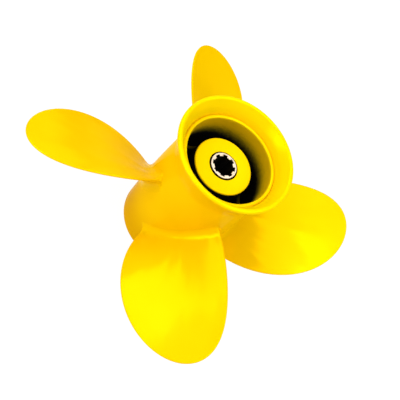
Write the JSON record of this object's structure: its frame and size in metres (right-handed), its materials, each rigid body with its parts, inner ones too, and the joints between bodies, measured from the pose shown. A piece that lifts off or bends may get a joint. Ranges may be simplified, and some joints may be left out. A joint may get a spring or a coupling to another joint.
{
  "type": "outboard motor propeller",
  "caption": "Boat propeller with broad raked blades on a hollow exhaust hub, a flared diffuser ring, inner ribs and a splined sleeve held in a rubber bush.",
  "frame": {"origin": "centre of the barrel's flat front rim, which the propeller stands on", "axes": "+Z along the shaft axis, from the front rim to the exhaust mouth; the inner ribs lie about midway between the X and Y axes"},
  "size_m": [0.2294, 0.2294, 0.1095],
  "materials": {
    "yellow_paint": "glossy enamel over cast aluminium",
    "black_rubber": "matt moulded rubber",
    "pale_brass": "machined and broached"
  },
  "bodies": {
    "root": {"outer_barrel": "yellow_paint", "diffuser_ring": "yellow_paint", "inner_hub": "yellow_paint", "rib_1": "yellow_paint", "rib_2": "yellow_paint", "rib_3": "yellow_paint", "rib_4": "yellow_paint", "blade_1": "yellow_paint", "blade_2": "yellow_paint", "blade_3": "yellow_paint", "blade_4": "yellow_paint", "rubber_bush": "black_rubber", "splined_sleeve": "pale_brass"}
  },
  "joints": []
}
